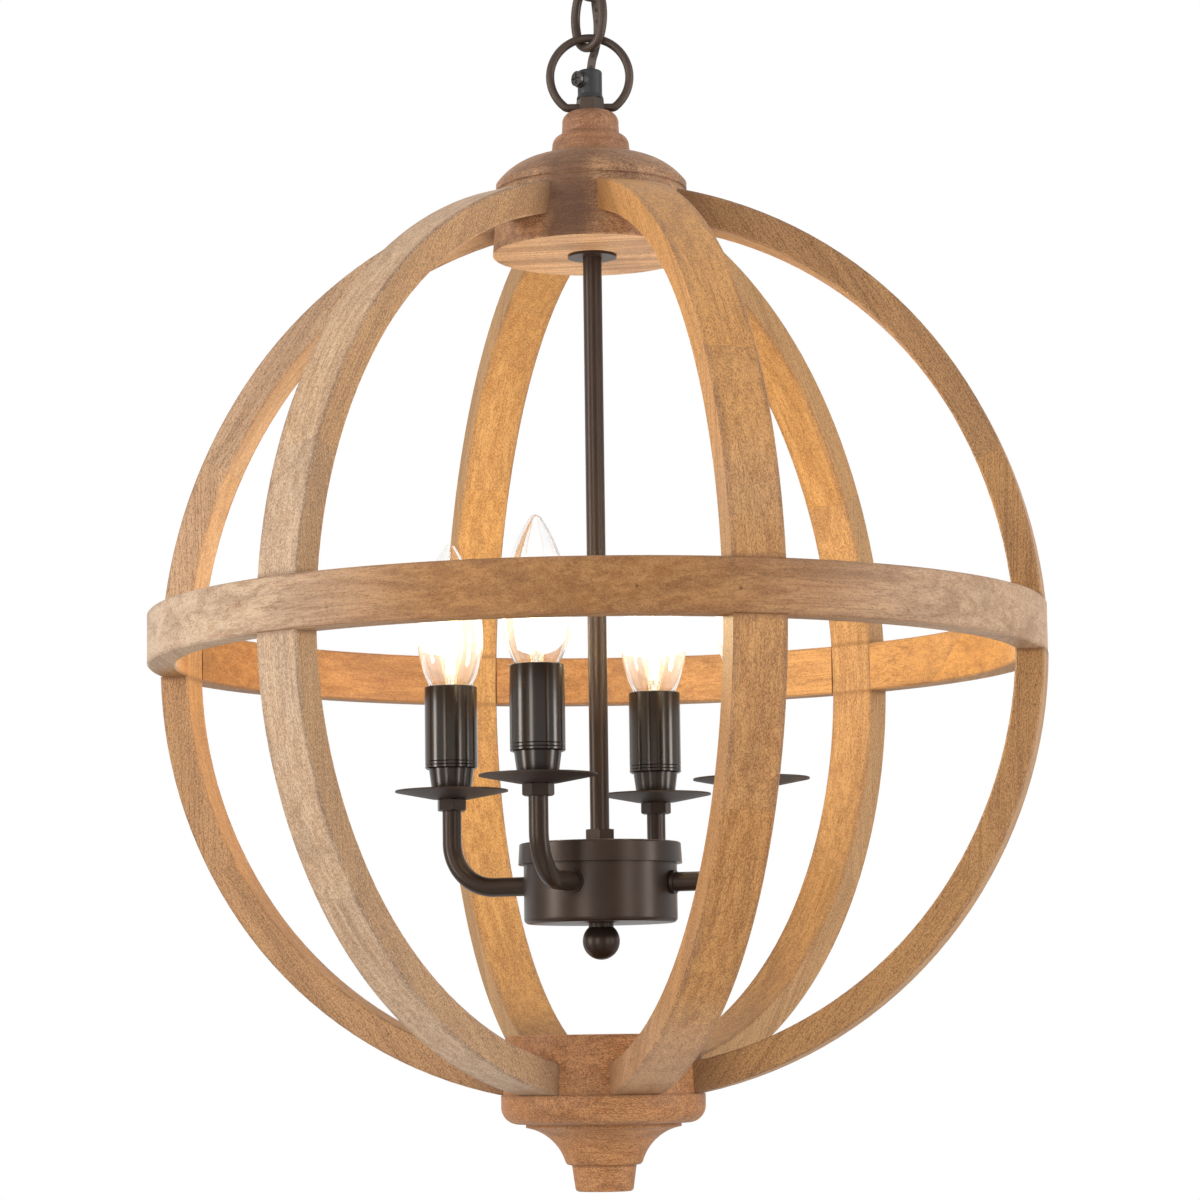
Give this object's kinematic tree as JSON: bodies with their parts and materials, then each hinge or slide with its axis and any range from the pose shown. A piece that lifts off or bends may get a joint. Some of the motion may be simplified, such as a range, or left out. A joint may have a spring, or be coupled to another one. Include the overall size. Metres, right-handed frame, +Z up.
{
  "type": "orb chandelier",
  "caption": "Hanging wooden orb lantern: curved ribs and a level ring round candle-bulb holders on bent arms from a central drum, on a short chain.",
  "frame": {"origin": "middle of the mounting strap's face that meets the ceiling", "axes": "+Z up out of the ceiling face, -Y towards the pictured side, +X to the right of that view"},
  "size_m": [0.47, 0.4699, 0.7516],
  "materials": {
    "rib_wood": "waxed, fine grain",
    "ring_wood": "waxed, fine grain",
    "hub_wood": "turned and waxed",
    "bronze": "dark bronze, satin",
    "holder_metal": "dark bronze, satin",
    "sleeve_black": "near black, semi-gloss",
    "grip_black": "matte",
    "cord_cover": "dull brown sleeve",
    "wire_cover": "dull",
    "strap_steel": "zinc plated",
    "block_white": "matte",
    "bulb_glass": "clear, polished",
    "bulb_cap": "nickelled, polished",
    "bulb_filament": "glowing"
  },
  "bodies": {
    "ceiling_fixing": {"ceiling_strap": "strap_steel", "ceiling_canopy": "bronze", "canopy_screws": "bronze", "canopy_loop": "bronze", "cord_gland": "grip_black", "terminal_block": "block_white"},
    "top_link": {"chain_link_top": "bronze"},
    "middle_link": {"chain_link_middle": "bronze"},
    "bottom_link": {"chain_link_bottom": "bronze"},
    "orb": {"hub_loop": "bronze", "cord_grip": "grip_black", "cord_grip_screw": "bronze", "supply_cord": "cord_cover", "wiring_harness": "wire_cover", "top_hub": "hub_wood", "top_hub_knob": "hub_wood", "bottom_hub": "hub_wood", "equator_ring": "ring_wood", "rib_1": "rib_wood", "rib_2": "rib_wood", "rib_3": "rib_wood", "rib_4": "rib_wood", "rib_5": "rib_wood", "rib_6": "rib_wood", "hub_flange": "bronze", "centre_tube": "bronze", "drum_nuts": "bronze", "drum_washer": "bronze", "drum_lid": "bronze", "drum_body": "bronze", "ball_finial": "bronze", "arm_nuts": "bronze", "arm_1": "bronze", "drip_dish_1": "bronze", "holder_core_1": "holder_metal", "holder_sleeve_1": "sleeve_black", "arm_2": "bronze", "drip_dish_2": "bronze", "holder_core_2": "holder_metal", "holder_sleeve_2": "sleeve_black", "arm_3": "bronze", "drip_dish_3": "bronze", "holder_core_3": "holder_metal", "holder_sleeve_3": "sleeve_black", "arm_4": "bronze", "drip_dish_4": "bronze", "holder_core_4": "holder_metal", "holder_sleeve_4": "sleeve_black"},
    "bulb_1": {"bulb_glass_1": "bulb_glass", "bulb_cap_1": "bulb_cap", "bulb_filament_1": "bulb_filament"},
    "bulb_2": {"bulb_glass_2": "bulb_glass", "bulb_cap_2": "bulb_cap", "bulb_filament_2": "bulb_filament"},
    "bulb_3": {"bulb_glass_3": "bulb_glass", "bulb_cap_3": "bulb_cap", "bulb_filament_3": "bulb_filament"},
    "bulb_4": {"bulb_glass_4": "bulb_glass", "bulb_cap_4": "bulb_cap", "bulb_filament_4": "bulb_filament"}
  },
  "joints": [
    {"name": "top_link_swing", "type": "hinge", "parent": "ceiling_fixing", "child": "top_link", "pos_m": [0, 0, -0.0625], "axis": [0.7314, 0.682, 0], "range_deg": [-15, 15], "deforming": ["supply_cord"]},
    {"name": "middle_link_swing", "type": "hinge", "parent": "top_link", "child": "middle_link", "pos_m": [0, 0, -0.0903], "axis": [0.682, -0.7314, 0], "range_deg": [-15, 15]},
    {"name": "bottom_link_twist", "type": "hinge", "parent": "middle_link", "child": "bottom_link", "pos_m": [0, 0, -0.1155], "axis": [0, 0, 1], "range_deg": [-15, 15], "stiffness_Nm_per_rad": 0.1},
    {"name": "orb_rock", "type": "hinge", "parent": "bottom_link", "child": "orb", "pos_m": [0, 0, -0.1409], "axis": [1, 0, 0], "range_deg": [-15, 15]},
    {"name": "bulb_1_removal", "type": "slide", "parent": "orb", "child": "bulb_1", "axis": [0, 0, 1], "range_m": [0, 0.025]},
    {"name": "bulb_2_removal", "type": "slide", "parent": "orb", "child": "bulb_2", "axis": [0, 0, 1], "range_m": [0, 0.025]},
    {"name": "bulb_3_removal", "type": "slide", "parent": "orb", "child": "bulb_3", "axis": [0, 0, 1], "range_m": [0, 0.025]},
    {"name": "bulb_4_removal", "type": "slide", "parent": "orb", "child": "bulb_4", "axis": [0, 0, 1], "range_m": [0, 0.025]}
  ]
}
